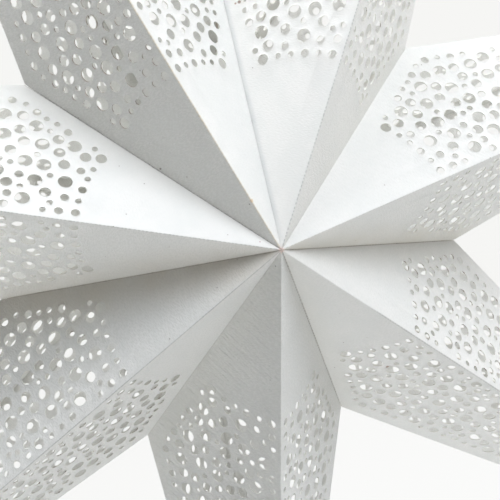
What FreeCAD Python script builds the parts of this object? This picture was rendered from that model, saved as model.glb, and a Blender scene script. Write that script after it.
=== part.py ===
import FreeCAD, Part
import math
import os

# A seven-pointed paper star: seven hollow arms of perforated white card, glued side by side.
# Each arm is one sheet with four triangular panels, folded along its front ridge, its back
# ridge and its two side edges, with glue flaps turned inwards round its open base.
# Millimetres. The front faces -Y, one arm points straight down and the origin is the centre.

# The star
arm_count = 7
tip_radius = 300.0          # centre to the tip of an arm
notch_radius = 90.0         # centre to the notch between two arms
apex_depth = 60.0           # centre to the front apex, and to the back apex
centre_gap = 1.2            # each arm stops this short of the centre, where they all meet

# The sheet of each arm
card = 0.4                  # thickness of the card
glue_line = 0.1             # glue between two flaps that lie face to face
flap_width = 10.0
flap_taper = 20.0           # length over which each end of a flap narrows to nothing
flap_inset = 3.0            # a flap stops this short of the apex and of the notch
lap_width = 8.0             # where the sheet overlaps itself inside the back ridge
lap_taper = 35.0
lap_inset = 5.0             # the lap stops this short of the apex and of the tip

# The holes in each panel
hole_diameter = 5.0
hole_sides = 6              # each hole is cut as a regular polygon with the area of the circle
holes_per_panel = 14
hole_spacing = 14.0         # least distance between the centres of two holes
plain_reach = 70.5          # the panel is plain this far from the apex
tip_margin = 40.0           # and over this length at the tip
ridge_margin = 2.0          # plain card between a hole and the ridge
edge_margin = 5.8           # plain card between a hole and the seam or the side edge

plastic_number = 1.324717957244746    # its powers scatter points evenly over a plane
scatter_turns = 200

half_step = math.pi / arm_count

# The arm is drawn with its axis along +X and turned into place at the end.
axis = FreeCAD.Vector(1, 0, 0)
tip = axis * tip_radius


def seated(corner):
    """Move a corner of the base towards the tip until the arm clears half the glue line."""
    share = glue_line / 2 / (tip_radius * math.sin(half_step))
    return corner + (tip - corner) * share


front_apex = seated(FreeCAD.Vector(0, -apex_depth, 0))
back_apex = seated(FreeCAD.Vector(0, apex_depth, 0))
notch_along = notch_radius * math.cos(half_step)
notch_across = notch_radius * math.sin(half_step)
upper_notch = seated(FreeCAD.Vector(notch_along, 0, notch_across))
lower_notch = seated(FreeCAD.Vector(notch_along, 0, -notch_across))


def unit(vector):
    """The same direction with a length of one."""
    return vector / vector.Length


def square_to(vector, direction):
    """The unit direction in the plane of both vectors that is square to the second."""
    return unit(vector - direction * vector.dot(direction))


def flat_face(points):
    return Part.Face(Part.makePolygon(points + [points[0]]))


def plate(points, inward, depth):
    """A flat plate: the outline moved inwards by its depth."""
    return flat_face(points).extrude(inward * depth)


def strip(start, end, across, inset, taper, width):
    """The outline of a strip along a fold, narrowing to nothing at both of its ends."""
    along = unit(end - start)
    return [
        start + along * inset,
        end - along * inset,
        end - along * (inset + taper) + across * width,
        start + along * (inset + taper) + across * width,
    ]


def solid_arm():
    """The space that the arm takes up: four panels and the two planes of its seams."""
    corners = [
        (front_apex, tip, upper_notch),
        (front_apex, lower_notch, tip),
        (back_apex, upper_notch, tip),
        (back_apex, tip, lower_notch),
        (front_apex, upper_notch, back_apex),
        (front_apex, back_apex, lower_notch),
    ]
    shell = Part.Shell([flat_face(list(triangle)) for triangle in corners])
    solid = Part.Solid(shell)
    if solid.Volume < 0:
        solid.reverse()
    return solid


class Panel:
    """One triangular panel, with directions along its ridge, across it and into the arm."""

    def __init__(self, apex, notch):
        self.apex = apex
        self.along = unit(tip - apex)
        self.across = square_to(notch - apex, self.along)
        self.inward = self.along.cross(self.across)
        if self.inward.dot(-apex) < 0:
            self.inward = -self.inward
        self.ridge_length = (tip - apex).Length
        self.notch_along = (notch - apex).dot(self.along)
        self.notch_across = (notch - apex).dot(self.across)

    def point(self, along, across):
        return self.apex + self.along * along + self.across * across

    def is_clear(self, along, across):
        """Whether a hole here keeps its margins to the ridge, the seam and the side edge."""
        past_notch = self.ridge_length - self.notch_along
        seam_length = math.hypot(self.notch_along, self.notch_across)
        side_length = math.hypot(past_notch, self.notch_across)
        from_seam = (along * self.notch_across - across * self.notch_along) / seam_length
        to_tip = self.ridge_length - along
        from_side = (to_tip * self.notch_across - across * past_notch) / side_length
        radius = hole_diameter / 2
        return across >= ridge_margin + radius and min(from_seam, from_side) >= edge_margin + radius

    def hole_centres(self):
        """Points scattered evenly over the pierced zone, each kept only where it has room."""
        zone = self.ridge_length - tip_margin - plain_reach
        centres = []
        for turn in range(scatter_turns):
            reach = plain_reach + zone * (turn / plastic_number % 1)
            across = self.notch_across * (turn / plastic_number ** 2 % 1)
            along = math.sqrt(reach ** 2 - across ** 2)
            room = all(math.dist((along, across), other) >= hole_spacing for other in centres)
            if room and self.is_clear(along, across):
                centres.append((along, across))
        return centres[:holes_per_panel]

    def hole(self, along, across):
        """A many-sided punch that goes through the card, and through the lap behind it."""
        side_turn = 2 * math.pi / hole_sides
        reach = hole_diameter / 2 * math.sqrt(side_turn / math.sin(side_turn))
        turns = [side_turn * side for side in range(hole_sides)]
        rim = [
            self.point(along + reach * math.cos(turn), across + reach * math.sin(turn))
            for turn in turns
        ]
        return plate([corner - self.inward * card for corner in rim], self.inward, 4 * card)


def flap(solid, apex, other_apex, notch):
    """A glue flap on one seam, turned in along the edge of a panel."""
    across = square_to(other_apex - apex, unit(notch - apex))
    inward = unit((notch - apex).cross(other_apex - apex))
    if inward.dot(axis) < 0:
        inward = -inward
    outline = strip(apex, notch, across, flap_inset, flap_taper, flap_width)
    return plate(outline, inward, card).common(solid)


def lap(solid, panel):
    """The overlap inside the back ridge, one more thickness of card under the panel."""
    outline = strip(panel.apex, tip, panel.across, lap_inset, lap_taper, lap_width)
    return plate(outline, panel.inward, 2 * card).common(solid)


def make_arm():
    solid = solid_arm()
    panels = [
        Panel(apex, notch)
        for apex in (front_apex, back_apex)
        for notch in (upper_notch, lower_notch)
    ]
    # The four panels slope alike, so the hollow is the same form drawn back along the arm.
    setback = card / abs(panels[0].inward.dot(axis))
    sheet = solid.cut(solid.translated(axis * -setback))

    flaps = [
        flap(solid, apex, other_apex, notch)
        for apex, other_apex in ((front_apex, back_apex), (back_apex, front_apex))
        for notch in (upper_notch, lower_notch)
    ]
    back_panel = panels[2]
    sheet = sheet.fuse(flaps + [lap(solid, back_panel)])

    holes = [panel.hole(*centre) for panel in panels for centre in panel.hole_centres()]
    corner = FreeCAD.Vector(0, -apex_depth, -centre_gap)
    gap = Part.makeBox(centre_gap, 2 * apex_depth, 2 * centre_gap, corner)
    return sheet.cut(holes + [gap]).removeSplitter()


def main():
    os.makedirs("parts", exist_ok=True)
    arm = make_arm()
    for number in range(arm_count):
        # The arms go round clockwise, seen from the front, from the one right of the top notch.
        turn = math.degrees((2 * number + 1) * half_step) - 90
        placed = arm.copy()
        placed.rotate(FreeCAD.Vector(0, 0, 0), FreeCAD.Vector(0, 1, 0), turn)
        placed.exportStep(f"parts/arm_{number + 1}.step")
    print("one arm:", len(arm.Solids), "solid,", round(arm.Volume), "mm3, valid:", arm.isValid())


main()
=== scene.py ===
import math
import bpy
import numpy as np
from mathutils import Matrix, Vector
from mathutils.geometry import delaunay_2d_cdt


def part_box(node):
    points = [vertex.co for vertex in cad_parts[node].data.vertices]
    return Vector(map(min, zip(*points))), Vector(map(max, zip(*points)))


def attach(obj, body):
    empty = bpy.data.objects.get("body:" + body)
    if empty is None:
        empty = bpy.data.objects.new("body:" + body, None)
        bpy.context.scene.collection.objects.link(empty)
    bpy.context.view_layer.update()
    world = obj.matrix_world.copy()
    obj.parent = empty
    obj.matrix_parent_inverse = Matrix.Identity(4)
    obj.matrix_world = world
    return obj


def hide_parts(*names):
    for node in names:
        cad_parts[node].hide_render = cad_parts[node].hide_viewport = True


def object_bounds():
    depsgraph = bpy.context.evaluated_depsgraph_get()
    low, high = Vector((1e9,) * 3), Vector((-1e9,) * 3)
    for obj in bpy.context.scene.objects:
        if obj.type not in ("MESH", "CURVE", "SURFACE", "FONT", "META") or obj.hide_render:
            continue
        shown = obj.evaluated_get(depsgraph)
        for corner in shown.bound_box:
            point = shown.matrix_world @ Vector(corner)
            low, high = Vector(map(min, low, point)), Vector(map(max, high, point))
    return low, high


# A seven-pointed star of white card. Each arm is one sheet of four triangular panels, folded
# along its ridges and side edges, pierced with round holes and glued to its neighbours.

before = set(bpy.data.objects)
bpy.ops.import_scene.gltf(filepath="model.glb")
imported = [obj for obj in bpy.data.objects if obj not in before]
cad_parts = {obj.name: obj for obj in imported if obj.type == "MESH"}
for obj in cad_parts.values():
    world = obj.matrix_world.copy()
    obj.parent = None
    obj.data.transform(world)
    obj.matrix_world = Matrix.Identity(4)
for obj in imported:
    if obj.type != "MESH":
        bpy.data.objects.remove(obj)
cadLow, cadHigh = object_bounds()
mm = 0.001
armNames = sorted(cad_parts)
halfStep = math.pi / len(armNames)
print("frame loaded:", len(armNames), "arms")


def linearColour(code):
    # sRGB hex to linear: each channel by the sRGB curve
    channels = [int(code[i:i + 2], 16) / 255 for i in (1, 3, 5)]
    return [c / 12.92 if c <= 0.04045 else ((c + 0.055) / 1.055) ** 2.4 for c in channels] + [1]


def addNode(tree, kind, inputs=None, **settings):
    # inputs are values or sockets to link, by name or place; settings go on the node itself
    node = tree.nodes.new(kind)
    for name, value in settings.items():
        setattr(node, name, value)
    for name, value in (inputs or {}).items():
        if isinstance(value, bpy.types.NodeSocket):
            tree.links.new(value, node.inputs[name])
        else:
            node.inputs[name].default_value = value
    return node


def mixShaders(tree, share, first, second):
    return addNode(tree, "ShaderNodeMixShader", {
        0: share, 1: first.outputs[0], 2: second.outputs[0]}).outputs[0]


def newMaterial(name):
    material = bpy.data.materials.new(name)
    material.use_nodes = True
    material.node_tree.nodes.clear()
    return material, material.node_tree


# the star's own sizes, in metres
sheet = {
    "card": 0.4 * mm,
    # width of the groove between two arms, clockwise from the top one seen from the front
    "seamGaps": (0.06 * mm, 0.03 * mm, 0.14 * mm, 0.09 * mm, 0.04 * mm, 0.14 * mm, 0.14 * mm),
    # how far hand folding has moved each notch, same order, and the front apex: right and up
    "notchShifts": ((0, 0), (0.5 * mm, 0), (0.8 * mm, 0), (-0.4 * mm, -0.4 * mm), (0, 0.8 * mm),
                    (0, 0), (-1.0 * mm, -0.6 * mm)),
    "apexShift": (0.7 * mm, 0),
    "apexDraw": 0.15,          # share of the groove that is left where the points meet
    "centreGap": 0.3 * mm,     # the arms' points stop about this short of the axis
    "scoreWidth": 0.34 * mm,   # half the width of a scored fold
    "foldRound": 0.6,          # how far its crest is pressed in: 0 is sharp, 1 is flat
    "bow": 0.45 * mm,          # most that a panel bows out or in
    "flapWidth": 10 * mm,
    "flapTaper": 20 * mm,
    "flapInset": 3 * mm,
    "lapWidth": 8 * mm,
    "lapTaper": 35 * mm,
    "lapInset": 5 * mm,
    "lapStop": 0.4,            # share of the taper at the tip that the lap's edge line leaves out
    "lapGap": 0.05,            # gap between the sheet and its lap, as a share of the card's thickness
    "edgePitch": 4 * mm,       # spacing of the points along an edge
    "fieldPitch": 6 * mm,      # and over the plain part of a panel
    "fieldShifts": [2, 6, 8],  # rows there, from 0 at the ridge, that stand half a pitch along
    "scoreStop": 4,            # score widths from a score line's end to a notch, four times that at a tip
    "pointReach": (0.5, 1.6),  # least and most that an arm's point stands off, in centre gaps
    "weldSize": 0.001 * mm,    # points nearer than this are joined
    "sharpAngle": 20,          # degrees between faces above which an edge isn't smoothed
    "seed": 7,
}

armCount = len(armNames)
# arm_4 points straight down: its tip is the lowest place, and its notches are its widest
tipRadius = -cadLow.z
apexDepth = cadHigh.y
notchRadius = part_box("arm_4")[1].x / math.sin(halfStep)
chance = np.random.default_rng(sheet["seed"])


def unit(vector):
    return vector / np.linalg.norm(vector)


def atHour(radius, steps):
    # a place in the star's middle plane, so many half steps clockwise from the top
    return radius * np.array([math.sin(steps * halfStep), 0, math.cos(steps * halfStep)])


regularTip = atHour(tipRadius, 0)
regularApex = np.array([0, -apexDepth, 0])
alongRidge = unit(regularTip - regularApex)
ridgeLength = np.linalg.norm(regularTip - regularApex)
notchAlong = (atHour(notchRadius, 1) - regularApex) @ alongRidge
notchAcross = np.linalg.norm(atHour(notchRadius, 1) - regularApex - alongRidge * notchAlong)
seamLength = math.hypot(notchAlong, notchAcross)
sideLength = math.hypot(ridgeLength - notchAlong, notchAcross)
print("panel: ridge", round(ridgeLength / mm, 1), "mm, seam", round(seamLength / mm, 1), "mm")

# the holes that each panel is pierced with
pattern = {
    "diameters": (5.0 * mm, 4.0 * mm, 3.0 * mm, 2.2 * mm),
    "plainReach": 68.0 * mm,   # no hole's centre is nearer than this to the apex
    "firstReach": 70.5 * mm,   # and none but the border's is nearer than this
    "tipMargin": 40 * mm,
    "ridgeMargin": 2.0 * mm,
    "edgeMargin": 5.8 * mm,
    "slack": 1e-9,             # a hole may break its margins by this rounding error
    "firstHoles": 14,          # large holes that are set out before all others
    "firstSpacing": 14 * mm,
    "borderWeb": 2.3 * mm,     # card left between two holes of the border
    "web": 1.25 * mm,          # card left between any two holes
    "borderStep": 0.3 * mm,    # distance between the places that are tried along the border
    "borderSizes": (2, 3, 2, 3, 3, 1, 3, 2, 3, 3, 0, 3, 2, 1),
    # for each size: the places tried, the most holes kept, and the sides of its rim
    "fillTurns": (4000, 7000, 18000, 40000),
    "fillCounts": (30, 34, 60, 90),
    "rimSteps": (18, 16, 14, 12),
    "rimRoll": 0.50 * mm,      # the beam raises the card round a hole over this width
    "rimRise": 0.15 * mm,      # and by this much at the rim
}
plasticNumber = 1.324717957244746    # its powers scatter points evenly over a plane


def fromSeam(along, across):
    return (along * notchAcross - across * notchAlong) / seamLength


def fromSide(along, across):
    toTip = ridgeLength - along
    return (toTip * notchAcross - across * (ridgeLength - notchAlong)) / sideLength


def scatterHoles():
    # Rows of (along, across, diameter). The first large holes stand well apart. A row of mostly
    # small ones then follows the zone's border, and each size in turn fills the places that a
    # plastic-number sequence offers, where there is room.
    sizes = pattern["diameters"]
    zone = ridgeLength - pattern["tipMargin"] - pattern["firstReach"]
    rows = []

    def hasRoom(along, across, size, web):
        slack = pattern["slack"]
        clear = (
            across >= pattern["ridgeMargin"] + size / 2 - slack
            and fromSeam(along, across) >= pattern["edgeMargin"] + size / 2 - slack
            and fromSide(along, across) >= pattern["edgeMargin"] + size / 2 - slack
            and math.hypot(along, across) >= pattern["plainReach"] - slack
            and along <= ridgeLength - pattern["tipMargin"]
        )
        if not clear or not rows:
            return clear
        others = np.array(rows)
        gaps = np.hypot(others[:, 0] - along, others[:, 1] - across) - others[:, 2] / 2 - size / 2
        return gaps.min() >= web

    def offered(turn):
        reach = pattern["firstReach"] + zone * (turn / plasticNumber % 1)
        across = notchAcross * (turn / plasticNumber ** 2 % 1)
        return math.sqrt(reach ** 2 - across ** 2), across

    def walkBorder(placeOf, start, end):
        # placeOf gives the centre of a hole of some size at a distance along the border
        turn = 0
        for distance in np.arange(start, end, pattern["borderStep"]):
            size = sizes[pattern["borderSizes"][turn % len(pattern["borderSizes"])]]
            along, across = placeOf(distance, size)
            if hasRoom(along, across, size, pattern["borderWeb"]):
                rows.append((along, across, size))
                turn += 1

    def onArc(distance, size):
        angle = distance / pattern["plainReach"]
        return pattern["plainReach"] * math.cos(angle), pattern["plainReach"] * math.sin(angle)

    def besideSeam(distance, size):
        inset = pattern["edgeMargin"] + size / 2
        along = (distance * notchAlong + inset * notchAcross) / seamLength
        return along, (distance * notchAcross - inset * notchAlong) / seamLength

    def besideSide(distance, size):
        inset = pattern["edgeMargin"] + size / 2
        past = ridgeLength - notchAlong
        along = notchAlong + (distance * past - inset * notchAcross) / sideLength
        return along, notchAcross - (distance * notchAcross + inset * past) / sideLength

    def besideRidge(distance, size):
        return distance, pattern["ridgeMargin"] + size / 2

    turn = 0
    while len(rows) < pattern["firstHoles"] and turn < pattern["fillTurns"][0]:
        along, across = offered(turn)
        if hasRoom(along, across, sizes[0], pattern["firstSpacing"] - sizes[0]):
            rows.append((along, across, sizes[0]))
        turn += 1
    walkBorder(onArc, 0, pattern["plainReach"])
    walkBorder(besideSeam, 0, seamLength)
    walkBorder(besideSide, 0, sideLength)
    walkBorder(besideRidge, pattern["plainReach"], ridgeLength)
    for size, turns, count in zip(sizes, pattern["fillTurns"], pattern["fillCounts"]):
        placed = 0
        for turn in range(turns):
            along, across = offered(turns + turn)
            if placed < count and hasRoom(along, across, size, pattern["web"]):
                rows.append((along, across, size))
                placed += 1
    return np.array(rows)


holes = scatterHoles()
print("holes in each panel:", len(holes))


def paceOut(start, end, pitch):
    # evenly spaced points from start to end, both included
    start, end = np.array(start), np.array(end)
    count = max(2, round(np.linalg.norm(end - start) / pitch) + 1)
    return start + (end - start) * np.linspace(0, 1, count)[:, None]


def cutPanel():
    # A constrained Delaunay mesh of the panel's outline, its score lines, the lap's edge and the
    # rims of its holes, with a plain lattice between them. The triangles inside a rim are dropped.
    score = sheet["scoreWidth"]
    pitch = sheet["edgePitch"]
    start = sheet["centreGap"]
    notch = np.array([notchAlong, notchAcross])
    seamStart = notch * start / seamLength
    sideDown = np.array([-notchAcross, -(ridgeLength - notchAlong)]) / sideLength
    ridge = paceOut((start, 0), (ridgeLength, 0), pitch)
    side = paceOut((ridgeLength, 0), notch, pitch)
    seam = paceOut(notch, seamStart, pitch)
    outline = np.vstack([ridge[:-1], side[:-1], seam])

    # a score line runs beside each fold and stops short of its corners, sooner at the sharp tip
    near = score * sheet["scoreStop"]
    nearTip = near * 4
    ridgeScore = ridge[(ridge[:, 0] > start + near) & (ridge[:, 0] < ridgeLength - nearTip)]
    ridgeScore = ridgeScore + [0, score]
    fromTip = np.linalg.norm(side - [ridgeLength, 0], axis=1)
    sideScore = side[(fromTip > nearTip) & (fromTip < sideLength - near)] + sideDown * score
    lapEnd = ridgeLength - sheet["lapInset"]
    lapLine = np.array([
        (sheet["lapInset"], score * 2),
        (sheet["lapInset"] + sheet["lapTaper"], sheet["lapWidth"]),
        (lapEnd - sheet["lapTaper"], sheet["lapWidth"]),
        (lapEnd - sheet["lapTaper"] * sheet["lapStop"], score * 2),
    ])

    points, edges = [], []

    def addChain(chain, closed):
        first = sum(len(p) for p in points)
        points.append(np.asarray(chain))
        steps = np.arange(first, first + len(chain))
        pairs = np.stack([steps, np.roll(steps, -1)], 1)
        edges.append(pairs if closed else pairs[:-1])

    addChain(outline, True)
    addChain(ridgeScore, False)
    addChain(sideScore, False)
    addChain(lapLine, False)
    rimSteps = dict(zip(pattern["diameters"], pattern["rimSteps"]))
    for along, across, size in holes:
        turns = np.linspace(0, 2 * math.pi, rimSteps[size], endpoint=False)
        circle = np.stack([np.cos(turns), np.sin(turns)], 1)
        addChain(circle * size / 2 + [along, across], True)
        addChain(circle * (size / 2 + pattern["rimRoll"]) + [along, across], True)

    # the lattice is square but for a few shifted rows, and keeps clear of borders and rims
    field = sheet["fieldPitch"]
    columns = np.arange(field, ridgeLength, field)
    rows = np.arange(field / 2, notchAcross, field)
    lattice = np.stack(np.meshgrid(columns, rows), -1).reshape(-1, 2)
    lattice[np.isin(lattice[:, 1], rows[sheet["fieldShifts"]]), 0] += field / 2
    inside = (fromSeam(*lattice.T) > field / 3) & (fromSide(*lattice.T) > field / 3)
    toHoles = np.hypot(*(lattice[:, None] - holes[None, :, :2]).transpose(2, 0, 1)) - holes[:, 2] / 2
    inside &= toHoles.min(1) > field / 5
    points.append(lattice[inside])

    cut = delaunay_2d_cdt(
        [Vector(p) for p in np.vstack(points)], np.vstack(edges).tolist(), [], 0, 1e-8)
    flat = np.array([tuple(p) for p in cut[0]])
    faces = np.array(cut[2])
    # Points nearer than a hundredth of the card's thickness become one. Otherwise the thin triangle
    # between them could collapse when the panels are welded.
    sides = np.concatenate([faces[:, [0, 1]], faces[:, [1, 2]], faces[:, [2, 0]]])
    short = sides[np.linalg.norm(flat[sides[:, 0]] - flat[sides[:, 1]], axis=1) < sheet["card"] / 100]
    merged = np.arange(len(flat))
    merged[short.max(1)] = short.min(1)
    faces = merged[merged][faces]
    # a triangle whose middle is nearer to a hole's centre than its rim's chords are is cut out
    middles = flat[faces].mean(1)
    apothems = holes[:, 2] / 2 * np.cos(math.pi / np.array([rimSteps[s] for s in holes[:, 2]]))
    toCentres = np.hypot(*(middles[:, None] - holes[None, :, :2]).transpose(2, 0, 1))
    faces = faces[(toCentres > apothems * 0.999).all(1)]
    turned = np.cross(flat[faces[:, 1]] - flat[faces[:, 0]], flat[faces[:, 2]] - flat[faces[:, 0]])
    faces[turned < 0] = faces[turned < 0][:, ::-1]
    # no triangle lies along a border, where the next panel would have the same one
    onBorder = np.abs(np.stack([flat[:, 1], fromSeam(*flat.T), fromSide(*flat.T)], 1)) < sheet["weldSize"]
    faces = faces[(np.abs(turned) > 1e-14) & ~onBorder[faces].all(1).any(1)]
    used, back = np.unique(faces, return_inverse=True)
    return flat[used], back.reshape(-1, 3)


flatPanel, flatFaces = cutPanel()
toRims = np.hypot(*(flatPanel[:, None] - holes[None, :, :2]).transpose(2, 0, 1)) - holes[:, 2] / 2
rimRises = np.clip(1 - toRims.min(1, keepdims=True) / pattern["rimRoll"], 0, 1) * pattern["rimRise"]
print("flat panel:", len(flatPanel), "points,", len(flatFaces), "triangles")


def weldPoints(points):
    # the first of each group of points that round to the same place, and each point's group
    keys = np.round(points / sheet["weldSize"]).astype(np.int64)
    first, back = np.unique(keys, axis=0, return_index=True, return_inverse=True)[1:]
    return first, back.reshape(-1)


def openEdges(faces):
    # directed edges that no neighbour shares
    edges = np.concatenate([faces[:, [0, 1]], faces[:, [1, 2]], faces[:, [2, 0]]])
    top = faces.max() + 1
    forward = edges[:, 0] * top + edges[:, 1]
    backward = edges[:, 1] * top + edges[:, 0]
    return edges[~np.isin(forward, backward)]


def thicken(outer, inner, faces, uv):
    # A closed sheet: the faces, the same faces turned over on the inner points, and a wall along
    # every open edge, whose V runs from 0 at the outer side to 1 at the inner one. Gives points,
    # triangles, corner UVs and material indices.
    count = len(outer)
    rims = openEdges(faces)
    walls = np.concatenate([
        np.stack([rims[:, 1], rims[:, 0], rims[:, 0] + count], 1),
        np.stack([rims[:, 1], rims[:, 0] + count, rims[:, 1] + count], 1),
    ])
    depth = np.repeat([[0, 0], [0, 1]], count, axis=0)[walls.reshape(-1)]
    corners = np.concatenate([uv.reshape(-1, 2), uv[:, ::-1].reshape(-1, 2), depth])
    index = np.repeat([0, 1], [len(faces) * 2, len(walls)])
    triangles = np.concatenate([faces, faces[:, ::-1] + count, walls])
    return np.concatenate([outer, inner]), triangles, corners, index


def joinSheets(sheets):
    # several sets of points, triangles, corner UVs and material indices as one
    starts = np.cumsum([0] + [len(s[0]) for s in sheets])
    faces = [s[1] + start for s, start in zip(sheets, starts)]
    return (np.concatenate([s[0] for s in sheets]), np.concatenate(faces),
            np.concatenate([s[2] for s in sheets]), np.concatenate([s[3] for s in sheets]))


def foldSheet(corners, bows, reach):
    # Four copies of the flat panel, each carried onto its own three corners, and joined along the
    # folds. A point's inner partner lies one card's thickness under every panel it belongs to.
    # A panel bows by the product of a point's shares of the three corners, times 27 to make it 1
    # in the middle, and rises towards each rim in a straight line.
    # corners: (apex, tip, notch) of each panel; bows: how far each bows out; reach: how near the
    # arm's point comes to the apex, as a share of the centre gap.
    toNotch = flatPanel[:, 1:] / notchAcross
    toTip = (flatPanel[:, :1] - toNotch * notchAlong) / ridgeLength
    bubble = 27 * toNotch * toTip * (1 - toNotch - toTip)
    middle = np.concatenate(corners).mean(0)
    places, faces, normals = [], [], []
    for (apex, tip, notch), bow in zip(corners, bows):
        normal = unit(np.cross(tip - apex, notch - apex))
        outward = np.sign(normal @ (apex + tip + notch - 3 * middle))
        lift = (bubble * bow + rimRises) * outward
        place = apex + toTip * (tip - apex) + toNotch * (notch - apex) + lift * normal
        # the blunt end's two corners, and a tenth more for rounding
        atPoint = np.hypot(*flatPanel.T) < sheet["centreGap"] * 1.1
        place[atPoint] = apex + (place[atPoint] - apex) * reach
        faces.append(flatFaces if outward > 0 else flatFaces[:, ::-1])
        places.append(place)
        normals.append(normal * outward)
    uv = np.concatenate([flatPanel[f] / mm for f in faces])
    normals = np.array(normals)
    first, back = weldPoints(np.concatenate(places))
    outer = np.concatenate(places)[first]
    faces = np.concatenate([back[f + i * len(flatPanel)] for i, f in enumerate(faces)])
    member = np.zeros((len(first), 4), bool)
    member[back, np.repeat(np.arange(4), len(flatPanel))] = True
    inward = np.zeros((len(first), 3))
    for row in np.unique(member, axis=0):
        under = -np.linalg.lstsq(normals[row], np.ones(row.sum()), rcond=None)[0]
        inward[(member == row).all(1)] = under
        # a fold's crest lies lower than its sharp corner would
        steep = math.sqrt(max(0, 1 - 1 / (under @ under)))
        outer[(member == row).all(1)] += unit(under) * sheet["foldRound"] * sheet["scoreWidth"] * steep
    return outer, outer + inward * sheet["card"], faces, uv, normals


def cutLap(outer, inner, faces, uv, normals):
    # the strip of second layer where the sheet's two ends overlap, beside the back ridge on
    # panel 2, the first of the back ones
    along, across = uv.mean(1).T * mm
    end = ridgeLength - sheet["lapInset"]
    places = [sheet["lapInset"], sheet["lapInset"] + sheet["lapTaper"], end - sheet["lapTaper"], end]
    edge = np.interp(along, places, [0, sheet["lapWidth"], sheet["lapWidth"], 0])
    onBackPanel = np.arange(len(faces)) // len(flatFaces) == 2
    inside = onBackPanel & (across < edge) & (across > sheet["scoreWidth"])
    used, back = np.unique(faces[inside], return_inverse=True)
    under = -normals[2] * sheet["card"]
    gap = under * sheet["lapGap"]
    return thicken(inner[used] + gap, inner[used] + under, back.reshape(-1, 3), uv[inside])


def standFlap(apex, tip, notch):
    # a plate in the valley between two arms, standing inwards from the seam
    seam = unit(notch - apex)
    valley = unit(np.cross([0, 1, 0], notch * [1, 0, 1]))
    valley = valley * np.sign(valley @ tip)
    into = unit(np.cross(seam, valley))
    into = into * -np.sign(into[1] * apex[1])
    inset, taper, width = sheet["flapInset"], sheet["flapTaper"], sheet["flapWidth"]
    ends = (inset, inset + taper, seamLength - inset - taper, seamLength - inset)
    shape = np.array([(ends[0], 0), (ends[1], width), (ends[2], width), (ends[3], 0)])
    points = apex + into * sheet["card"] / 2 + shape[:, :1] * seam + shape[:, 1:] * into
    faces = np.array([[0, 1, 2], [0, 2, 3]])
    if np.cross(points[1] - points[0], points[2] - points[0]) @ valley > 0:
        faces = faces[:, ::-1]
    return thicken(points, points + valley * sheet["card"], faces, shape[faces] / mm)


def placeCorners(number):
    # The four panels' corners: front and back apex, each with the notch on either side. A notch
    # draws towards the arm's tip by half of the groove beside it, and an apex by less.
    tip = atHour(tipRadius, 2 * number + 1)
    notches, draws = [], []
    for i in (number, number + 1):
        right, up = sheet["notchShifts"][i % armCount]
        draw = sheet["seamGaps"][i % armCount] / 2 / (tipRadius * math.sin(halfStep))
        notch = atHour(notchRadius, 2 * i) + [right, 0, up]
        notches.append(notch + (tip - notch) * draw)
        draws.append(draw)
    right, up = sheet["apexShift"]
    apexes = [np.array([right, -apexDepth, up]), np.array([0, apexDepth, 0])]
    apexes = [apex + (tip - apex) * sum(draws) * sheet["apexDraw"] for apex in apexes]
    return [(apex, tip, notch) for apex in apexes for notch in notches]


def onPanel(number, panel, along, across):
    # the place on a panel at a distance along its ridge and a distance from it
    apex, tip, notch = placeCorners(number)[panel]
    toNotch = across / notchAcross
    return apex + (along - toNotch * notchAlong) / ridgeLength * (tip - apex) + toNotch * (notch - apex)


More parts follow.
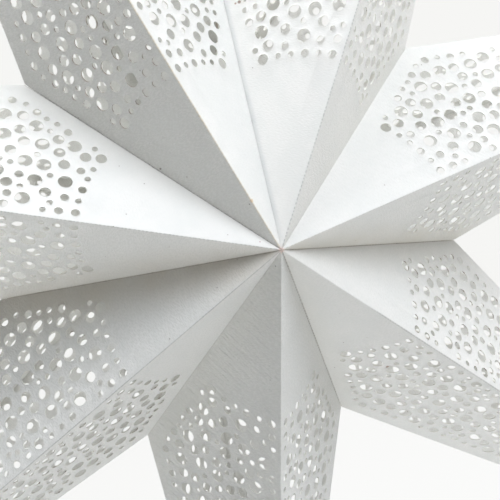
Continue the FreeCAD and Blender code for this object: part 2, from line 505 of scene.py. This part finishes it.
# the card, its cut edges and the marks on it
paper = {
    "card": "#FAF9F6",
    "shade": "#F6F6F3",        # the darker patches of its cloudy look
    "fibre": "#EFEFEB",        # and of its fibres
    "speck": "#7E6C62",
    "cut": "#F5F3EC",
    "scorch": "#7E5C44",
    "scorchSize": 2.5 * mm,    # length of the browned patches of an edge
    "scorchDeeper": 0.06,      # how much more of it is browned at its inner side
    "scorchEnds": (0.74, 0.88),   # from pale to brown, on a noise of 0 to 1
    "seenThrough": "#F7F7F5",  # tint of the light that comes through the card
    "lightLetThrough": 0.34,
    "roughness": 0.82,
    "shine": 0.3,
    "fibreEnds": (0.30, 0.62),    # from all fibre to none, on the grain's 0 to 1
    "cloudEnds": (0.38, 0.60),    # and from shade to card
    "grain": 0.55 * mm,
    "grainStretch": 0.45,      # fibres lie across the fold, this much finer along it
    "grainHeight": 0.20 * mm,
    "cloud": 9 * mm,
    "wave": 30 * mm,
    "waveHeight": 0.12 * mm,
    "rippleSize": 1.6 * mm,    # fine ribs that hand rubbing left square to a seam
    "rippleStretch": 0.18,
    "rippleHeight": 0.30 * mm,
    "speckSpacing": 7.5 * mm,
    "speckRadius": 0.22 * mm,
    "speckStrength": 0.8,
    # a blush at the arms' points: colour, strength and reach in millimetres
    "pointStain": ("#F0CDC2", 0.8, 1.4),
    "dotPitch": 1.4,           # millimetres between the dots of a perforated fold
    "dotDrift": (3 * mm, 9.0),    # how their rhythm wanders: the noise's size, and by how many radians
    "dotGrain": 0.6,           # how much the grain frays them
    "dotEnds": (-0.4, 0.9),    # from gap to dot, on a sine
    "markPatches": (14 * mm, 1.6, 0.2),   # how patchy all marks are: the noise's size, gain and least
    "markRun": 10,             # millimetres before a mark's beginning over which it grows
    # Thin lines beside each front fold, partly the score's own grey and partly painted shade of its
    # pressed-in groove: colour, strength, how far it is broken into dots, the millimetres from the fold
    # to where it starts and ends fading, and where it begins.
    "foldMarks": (
        ("#A5A5A2", 0.55, 0.8, 0.18, 0.45, 0), ("#B4B3AE", 0.20, 1.0, 0.20, 0.40, 0),
        ("#A3A29C", 0.60, 0.3, 0.20, 0.50, 50), ("#F6F5F0", 0.60, 0.2, 0.15, 0.40, 0),
        ("#A6A59E", 0.50, 0.2, 0.14, 0.42, 6), ("#97968F", 0.45, 0.6, 0.12, 0.35, 0),
        ("#F2E4C8", 0.55, 0.5, 0.20, 0.85, 0),
    ),
    # the same columns for the lines beside each seam, clockwise from the top one
    "seamMarks": (
        ("#B9BAB8", 0.30, 0.3, 0.10, 0.30, 12), ("#C8C7C2", 0.00, 0.0, 0.10, 0.20, 0),
        ("#7A5C48", 0.50, 0.2, 0.10, 0.20, 0), ("#74675A", 0.60, 0.6, 0.10, 0.30, 0),
        ("#A5A39E", 0.20, 0.3, 0.10, 0.20, 0), ("#75604E", 0.50, 0.2, 0.10, 0.20, 0),
        ("#5F5852", 0.60, 0.4, 0.10, 0.20, 0),
    ),
    # Painted shade: the card is darkened more widely beside a few seams, most at the seam, where the
    # valleys between the arms lie in shade: colour, and strength on the panel before the seam and on
    # the one after it, then the same three distances.
    "paintedSeamShades": (
        ("#D8DADA", 0.00, 0.80, 0.00, 2.2, 12), ("#FFFFFF", 0.00, 0.00, 0.00, 1.0, 0),
        ("#E8E2D4", 0.45, 0.08, 0.00, 16.0, 0), ("#ECEADF", 0.20, 0.10, 0.00, 12.0, 0),
        ("#EAE9DE", 0.22, 0.00, 0.00, 24.0, 0), ("#E6DCCB", 0.42, 0.26, 0.00, 18.0, 0),
        ("#FFFFFF", 0.00, 0.00, 0.00, 1.0, 0),
    ),
    # the same kind of line beside each back fold, also partly painted shade
    "backMark": ("#A8A6A0", 0.4, 1.0, 0.15, 0.40, 0),
    # on each arm's front panels, the one before its ridge and the one after: how strongly the
    # fibres show, how far the ribs stand up, and how much of the hole rims is scorched
    "fibreLifts": ((0.4, 1.1), (0.5, 0.9), (0.7, 0.7), (1.8, 1.8), (1.0, 1.2), (1.2, 0.25), (1.9, 0.5)),
    "rippleLifts": ((0.0, 0.4), (0.2, 0.0), (0.0, 0.1), (0.4, 2.0), (0.3, 0.6), (0.3, 0.0), (0.6, 0.1)),
    "scorchShares": ((0.08, 0.08), (0.08, 0.02), (0.20, 0.05), (0.05, 0.05), (0.15, 0.05), (0.05, 0.08),
                     (0.32, 0.10)),
    "backFinish": (1.0, 0.05, 0.0),   # fibres, scorch and ribs of the back panels
    # stains: arm, panel before or after its ridge, millimetres along the ridge and from it,
    # radius in millimetres and colour
    "flecks": (
        (6, 0, 42.5, 25.8, 0.5, "#5E3E2A"), (6, 1, 19.0, 0.3, 0.8, "#EBD2AC"),
        (6, 0, 18.3, 1.5, 0.28, "#6B5F58"), (0, 0, 79.8, 45.9, 0.45, "#9A6B4C"),
        (0, 0, 80.6, 44.6, 0.8, "#8A5F40"), (2, 1, 77.7, 22.3, 0.8, "#A5683C"),
        (5, 1, 7.2, 2.2, 0.30, "#C08088"), (3, 1, 6.4, 2.3, 0.28, "#5C5048"),
        (4, 1, 24.8, 5.0, 0.25, "#6C6058"),
    ),
    "fleckFade": 1.6,          # a stain has faded at this many radii
    "fleckStrength": 0.9,
}


def scalar(tree, operation, *values, clamp=False):
    # one Math node: each value is a number or a socket
    node = addNode(tree, "ShaderNodeMath", dict(enumerate(values)), operation=operation, use_clamp=clamp)
    return node.outputs[0]


def blendColours(tree, share, first, second):
    return addNode(tree, "ShaderNodeMix", {0: share, 6: first, 7: second}, data_type="RGBA").outputs[2]


def fade(tree, value, near, far, atNear=1.0, atFar=0.0):
    # atNear below near, atFar above far, and an S-curve between them
    return addNode(tree, "ShaderNodeMapRange", {
        "Value": value, "From Min": near, "From Max": far, "To Min": atNear, "To Max": atFar},
        interpolation_type="SMOOTHSTEP").outputs[0]


def noise(tree, place, size, detail):
    return addNode(tree, "ShaderNodeTexNoise", {
        "Vector": place, "Scale": 1 / size, "Detail": detail, "Roughness": 0.6}).outputs["Fac"]


def splitVector(tree, vector):
    return addNode(tree, "ShaderNodeSeparateXYZ", {"Vector": vector}).outputs


def sheetPlace(tree):
    # X is millimetres along a panel's ridge and Y from it; on a wall Y is the depth, 0 to 1
    return splitVector(tree, addNode(tree, "ShaderNodeUVMap", uv_map="panel").outputs["UV"])


def faceValue(tree, name):
    # what each triangle of the sheet carries under this name
    return addNode(tree, "ShaderNodeAttribute", attribute_name=name).outputs


def finishOf(tree):
    # X is how strongly a panel's fibres show, Y how much of its rims is scorched, Z how far its
    # ribs stand up
    return splitVector(tree, faceValue(tree, "finish")["Vector"])


def seamPlace(tree, along, across):
    # distances along the seam and from it: a panel's two coordinates turned by the seam's slant
    cosine, sine = notchAlong / seamLength, notchAcross / seamLength
    alongSeam = scalar(tree, "MULTIPLY_ADD", along, cosine, scalar(tree, "MULTIPLY", across, sine))
    offSeam = scalar(tree, "MULTIPLY_ADD", along, sine, scalar(tree, "MULTIPLY", across, -cosine))
    return alongSeam, offSeam


def speckleCard(tree, colour, place):
    spots = addNode(tree, "ShaderNodeTexVoronoi", {
        "Vector": place, "Scale": 1 / paper["speckSpacing"]}, feature="F1").outputs["Distance"]
    radius = paper["speckRadius"] / paper["speckSpacing"]
    share = scalar(tree, "MULTIPLY", fade(tree, spots, radius * 0.5, radius * 1.5), paper["speckStrength"])
    return blendColours(tree, share, colour, linearColour(paper["speck"]))


def markFolds(tree, colour, place, along, across, offSeam, grain):
    # A mark's share is its strength, broken into dots by a sine along the fold, made patchy by a
    # noise, begun at its own distance and faded with the distance from its fold or seam.
    size, most = paper["dotDrift"]
    drift = scalar(tree, "MULTIPLY", noise(tree, place, size, detail=1.0), most)
    turns = 2 * math.pi / paper["dotPitch"]
    dots = scalar(tree, "SINE", scalar(tree, "MULTIPLY_ADD", along, turns, drift))
    dots = scalar(tree, "ADD", dots, scalar(tree, "MULTIPLY", grain, paper["dotGrain"]))
    gaps = fade(tree, dots, *paper["dotEnds"])
    size, gain, least = paper["markPatches"]
    patchy = scalar(tree, "MULTIPLY_ADD", noise(tree, place, size, detail=2.0), gain, least)
    # the first layer is the painted shade beside the seams
    for name, distance in (("paintedSeamShade", offSeam), ("seamMark", offSeam), ("foldMark", across)):
        mark, form = faceValue(tree, name), faceValue(tree, name + "Form")
        broken, near, far = splitVector(tree, form["Vector"])
        solid = scalar(tree, "SUBTRACT", 1.0, scalar(tree, "MULTIPLY", broken, gaps), clamp=True)
        begun = scalar(tree, "SUBTRACT", along, form["Alpha"])
        begun = scalar(tree, "MULTIPLY_ADD", begun, 1 / paper["markRun"], 1.0, clamp=True)
        share = mark["Alpha"]
        for part in (solid, patchy, begun):
            share = scalar(tree, "MULTIPLY", share, part)
        share = scalar(tree, "MULTIPLY", share, fade(tree, distance, near, far), clamp=True)
        colour = blendColours(tree, share, colour, mark["Color"])
    return colour


def stainCard(tree, colour, place, along, across, grain):
    # ragged spots, each faded with the distance from its place, and a blush at the arms' points
    for number, panel, at, side, radius, code in paper["flecks"]:
        away = addNode(tree, "ShaderNodeVectorMath", {
            0: place, 1: onPanel(number, panel, at * mm, side * mm)}, operation="DISTANCE").outputs["Value"]
        ragged = scalar(tree, "MULTIPLY_ADD", grain, radius * mm, away)
        share = fade(tree, ragged, radius * mm, radius * paper["fleckFade"] * mm)
        share = scalar(tree, "MULTIPLY", share, paper["fleckStrength"])
        colour = blendColours(tree, share, colour, linearColour(code))
    code, strength, reach = paper["pointStain"]
    frayed = scalar(tree, "MULTIPLY", grain, reach)
    toPoint = scalar(tree, "ADD", scalar(tree, "ADD", along, across), frayed)
    share = scalar(tree, "MULTIPLY", fade(tree, toPoint, reach * 0.8, reach * 1.8), strength)
    return blendColours(tree, share, colour, linearColour(code))


def raiseSurface(tree, height, distance, **more):
    return addNode(tree, "ShaderNodeBump", {
        "Height": height, "Distance": distance, "Strength": 1.0, **more}).outputs["Normal"]


def closeCard(tree, colour, **more):
    # matt card that also lets some of the light behind it through
    front = addNode(tree, "ShaderNodeBsdfPrincipled", {
        "Base Color": colour, "Roughness": paper["roughness"],
        "Specular IOR Level": paper["shine"], **more})
    through = addNode(tree, "ShaderNodeBsdfTranslucent", {
        "Color": linearColour(paper["seenThrough"]), **more})
    surface = mixShaders(tree, paper["lightLetThrough"], front, through)
    addNode(tree, "ShaderNodeOutputMaterial", {"Surface": surface})


def coverWithCard():
    # uncoated card: the eye reads the soft fibre grain, faint clouds, a few specks and hardly any
    # shine, and the grey or browned line where a fold was scored or an edge cut. The fold lines are
    # partly painted shade, and painted shade darkens the card beside a few seams.
    material, tree = newMaterial("uncoated_white_card")
    place = addNode(tree, "ShaderNodeTexCoord").outputs["Object"]
    panel, finish = sheetPlace(tree), finishOf(tree)
    along, across = panel["X"], panel["Y"]
    alongSeam, offSeam = seamPlace(tree, along, across)
    fibres = addNode(tree, "ShaderNodeCombineXYZ", {
        "X": along, "Y": scalar(tree, "MULTIPLY", across, paper["grainStretch"]),
        "Z": splitVector(tree, place)["X"]}).outputs[0]
    grain = noise(tree, fibres, paper["grain"] / mm, detail=2.0)

    clouds = fade(tree, noise(tree, place, paper["cloud"], detail=4.0), *paper["cloudEnds"])
    colour = blendColours(tree, clouds, linearColour(paper["card"]), linearColour(paper["shade"]))
    share = scalar(tree, "MULTIPLY", fade(tree, grain, *paper["fibreEnds"]), finish["X"], clamp=True)
    colour = blendColours(tree, share, colour, linearColour(paper["fibre"]))
    colour = speckleCard(tree, colour, place)
    colour = markFolds(tree, colour, place, along, across, offSeam, grain)
    colour = stainCard(tree, colour, place, along, across, grain)

    normal = raiseSurface(tree, grain, scalar(tree, "MULTIPLY", finish["X"], paper["grainHeight"]))
    ribs = addNode(tree, "ShaderNodeCombineXYZ", {
        "X": alongSeam, "Y": scalar(tree, "MULTIPLY", offSeam, paper["rippleStretch"])}).outputs[0]
    ribs = noise(tree, ribs, paper["rippleSize"] / mm, detail=1.0)
    ribHeight = scalar(tree, "MULTIPLY", finish["Z"], paper["rippleHeight"])
    normal = raiseSurface(tree, ribs, ribHeight, Normal=normal)
    waves = noise(tree, place, paper["wave"], detail=1.0)
    normal = raiseSurface(tree, waves, paper["waveHeight"], Normal=normal)
    closeCard(tree, colour, Normal=normal)
    return material


def coverCutEdge():
    # laser-cut card edge: pale core, browned in patches where the beam came out
    material, tree = newMaterial("laser_cut_card_edge")
    place = addNode(tree, "ShaderNodeTexCoord").outputs["Object"]
    deeper = scalar(tree, "MULTIPLY", sheetPlace(tree)["Y"], paper["scorchDeeper"])
    burn = scalar(tree, "ADD", noise(tree, place, paper["scorchSize"], detail=2.0), deeper)
    burn = scalar(tree, "ADD", burn, finishOf(tree)["Y"])
    share = scalar(tree, "SUBTRACT", 1.0, fade(tree, burn, *paper["scorchEnds"]))
    colour = blendColours(tree, share, linearColour(paper["cut"]), linearColour(paper["scorch"]))
    closeCard(tree, colour)
    return material


cardMaterial = coverWithCard()
edgeMaterial = coverCutEdge()


def paintMarks(mesh, number, faces):
    # Each triangle of the sheet carries the colour, strength and form of its panel's marks, and
    # the panel's finish. Panels 0 and 1 are the front ones. A wall has the finish of the panel
    # that it cuts, and the lap and flaps have the first panel's.
    triangles = len(flatFaces)
    panel = np.arange(len(faces)) % (4 * triangles) // triangles
    onSheet = np.arange(len(faces)) < 8 * triangles
    ofPoint = np.zeros(len(mesh.vertices), int)
    ofPoint[faces[onSheet]] = panel[onSheet, None]
    panel[~onSheet] = ofPoint[faces[~onSheet, 0]]
    finish = np.zeros((len(faces), 4), np.float32)
    for i in range(4):
        values = paper["backFinish"]
        if i < 2:
            values = [paper[name][number][i] for name in ("fibreLifts", "scorchShares", "rippleLifts")]
        finish[panel == i, :3] = values
    mesh.attributes.new("finish", "FLOAT_COLOR", "FACE").data.foreach_set("color", finish.ravel())
    unmarked = ("#FFFFFF", 0.0, 0.0, 0.0, 1.0, 0)
    for i in range(4):
        before = i % 2
        seam = (number + before) % armCount
        # painted shade beside the seam, on the front panels only
        code, strengthBefore, strengthAfter, near, far, start = paper["paintedSeamShades"][seam]
        tint = (code, strengthBefore if before else strengthAfter, 0.0, near, far, start)
        marks = {
            # the fold lines are partly painted shade of their grooves
            "foldMark": paper["foldMarks"][number] if i < 2 else paper["backMark"],
            "seamMark": paper["seamMarks"][seam],
            "paintedSeamShade": tint if i < 2 else unmarked,
        }
        for name, (code, strength, *form) in marks.items():
            for layer, values in ((name, [*linearColour(code)[:3], strength]), (name + "Form", form)):
                if layer not in mesh.attributes:
                    mesh.attributes.new(layer, "FLOAT_COLOR", "FACE")
                held = np.zeros(4 * len(faces), np.float32)
                mesh.attributes[layer].data.foreach_get("color", held)
                held.reshape(-1, 4)[onSheet & (panel == i)] = values
                mesh.attributes[layer].data.foreach_set("color", held)


def makeArm(number):
    corners = placeCorners(number)
    bows = chance.uniform(-1, 1, 4) * sheet["bow"]
    folded = foldSheet(corners, bows, chance.uniform(*sheet["pointReach"]))
    points, faces, uv, index = joinSheets([
        thicken(*folded[:4]), cutLap(*folded), *[standFlap(*c) for c in corners]])
    count = len(faces)
    name = "pierced_" + armNames[number]
    mesh = bpy.data.meshes.new(name)
    mesh.vertices.add(len(points))
    mesh.vertices.foreach_set("co", points.astype(np.float32).ravel())
    mesh.loops.add(count * 3)
    mesh.loops.foreach_set("vertex_index", faces.astype(np.int32).ravel())
    mesh.polygons.add(count)
    mesh.polygons.foreach_set("loop_start", np.arange(0, count * 3, 3, dtype=np.int32))
    mesh.polygons.foreach_set("material_index", index.astype(np.int32))
    mesh.update(calc_edges=True)
    mesh.uv_layers.new(name="panel").data.foreach_set("uv", uv.astype(np.float32).ravel())
    mesh.shade_smooth()
    mesh.set_sharp_from_angle(angle=math.radians(sheet["sharpAngle"]))
    paintMarks(mesh, number, faces)
    mesh.materials.append(cardMaterial)
    mesh.materials.append(edgeMaterial)
    piece = bpy.data.objects.new(name, mesh)
    bpy.context.scene.collection.objects.link(piece)
    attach(piece, "root")
    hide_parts(armNames[number])
    return piece


arms = [makeArm(i) for i in range(armCount)]
print("arms made:", len(arms))

# the floor, and what is seen behind the star
backdrop = {
    "floor": "#F6F6F4",
    "floorDrop": 0.25,         # metres below the lowest tip
    "floorSize": 60.0,         # metres along each side
    "shadowShare": 0.10,       # how much of its shading the floor shows near the centre
    "shadowReach": (0.8, 2.2),   # metres from the centre over which it loses that
    "world": "#F6F8F8",
    "worldLevel": 0.03,
}

# direction that each shines from, distance and diameter in metres, watts and colour
lamps = {
    "soft_key": ((0.25, -0.45, 0.86), 1.9, 1.1, 32.3, "#F2F7FF"),
    "top_softbox": ((-0.29, 0.20, 0.935), 1.9, 2.0, 51.6, "#FBFCFF"),
    "rear_fill": ((0.70, 0.70, 0.05), 1.9, 1.2, 20.7, "#EBEEFF"),
    "side_fill": ((0.87, 0.0, 0.5), 1.9, 1.0, 13.0, "#FFFBF8"),
}


def showsBackdrop(tree, *others):
    # 1 for a ray from the camera or of the other kinds, which meets the backdrop as it is written
    ray = addNode(tree, "ShaderNodeLightPath")
    seen = ray.outputs["Is Camera Ray"]
    for other in others:
        seen = scalar(tree, "MAXIMUM", seen, ray.outputs[other])
    return seen


def makeFloor():
    # seamless matt floor: seen as it is written, and still darkened a little by shadow
    material, tree = newMaterial("matt_studio_floor")
    colour = linearColour(backdrop["floor"])
    lit = addNode(tree, "ShaderNodeBsdfDiffuse", {"Color": colour})
    shown = addNode(tree, "ShaderNodeEmission", {"Color": colour, "Strength": 1.0})
    seen = showsBackdrop(tree, "Is Glossy Ray", "Is Transmission Ray")
    position = addNode(tree, "ShaderNodeNewGeometry").outputs["Position"]
    away = addNode(tree, "ShaderNodeVectorMath", {"Vector": position}, operation="LENGTH").outputs["Value"]
    glow = fade(tree, away, *backdrop["shadowReach"], 1 - backdrop["shadowShare"], 1.0)
    surface = mixShaders(tree, scalar(tree, "MULTIPLY", seen, glow), lit, shown)
    addNode(tree, "ShaderNodeOutputMaterial", {"Surface": surface})
    half = backdrop["floorSize"] / 2
    level = cadLow.z - backdrop["floorDrop"]
    corners = [(-half, -half, level), (half, -half, level), (half, half, level), (-half, half, level)]
    mesh = bpy.data.meshes.new("studio_floor")
    mesh.from_pydata(corners, [], [(0, 1, 2, 3)])
    mesh.materials.append(material)
    floor = bpy.data.objects.new("studio_floor", mesh)
    bpy.context.scene.collection.objects.link(floor)


def makeWorld():
    world = bpy.data.worlds.new("studio_world")
    world.use_nodes = True
    tree = world.node_tree
    tree.nodes.clear()
    lit = addNode(tree, "ShaderNodeBackground", {
        "Color": linearColour(backdrop["world"]), "Strength": backdrop["worldLevel"]})
    shown = addNode(tree, "ShaderNodeBackground", {
        "Color": linearColour(backdrop["floor"]), "Strength": 1.0})
    # not for rays through the card, because it is translucent and the world would light it
    surface = mixShaders(tree, showsBackdrop(tree, "Is Glossy Ray"), lit, shown)
    addNode(tree, "ShaderNodeOutputWorld", {"Surface": surface})
    bpy.context.scene.world = world


def addLamp(name, direction, distance, size, power, colour):
    data = bpy.data.lights.new(name, "AREA")
    data.shape = "DISK"
    data.size = size
    data.energy = power
    data.color = linearColour(colour)[:3]
    lamp = bpy.data.objects.new(name, data)
    away = Vector(direction).normalized()
    lamp.location = away * distance
    lamp.rotation_euler = away.to_track_quat("Z", "Y").to_euler()
    bpy.context.scene.collection.objects.link(lamp)


makeFloor()
makeWorld()
for name, values in lamps.items():
    addLamp(name, *values)
print("studio made")

# place and aim in metres, lens and sensor in millimetres
view = {
    "place": (-0.1147, -0.4572, 0.1010),
    "aim": (0.0057, 0.0, -0.0136),
    "lean": 3.71,              # degrees that the camera's top leans to its right
    "lens": 93.455,
    "sensor": 36,
    "clip": (0.01, 100),
}


def makeCamera():
    data = bpy.data.cameras.new("camera")
    data.lens = view["lens"]
    data.sensor_width = view["sensor"]
    data.clip_start, data.clip_end = view["clip"]
    camera = bpy.data.objects.new("camera", data)
    place = Vector(view["place"])
    look = (Vector(view["aim"]) - place).to_track_quat("-Z", "Y").to_matrix()
    lean = Matrix.Rotation(math.radians(-view["lean"]), 3, "Z")
    camera.matrix_world = Matrix.Translation(place) @ (look @ lean).to_4x4()
    bpy.context.scene.collection.objects.link(camera)
    bpy.context.scene.camera = camera


makeCamera()
# light crosses the hollow white arms many times before it comes out
bpy.context.scene.cycles.diffuse_bounces = 10
bpy.context.scene.view_settings.view_transform = "Standard"
print("camera set")
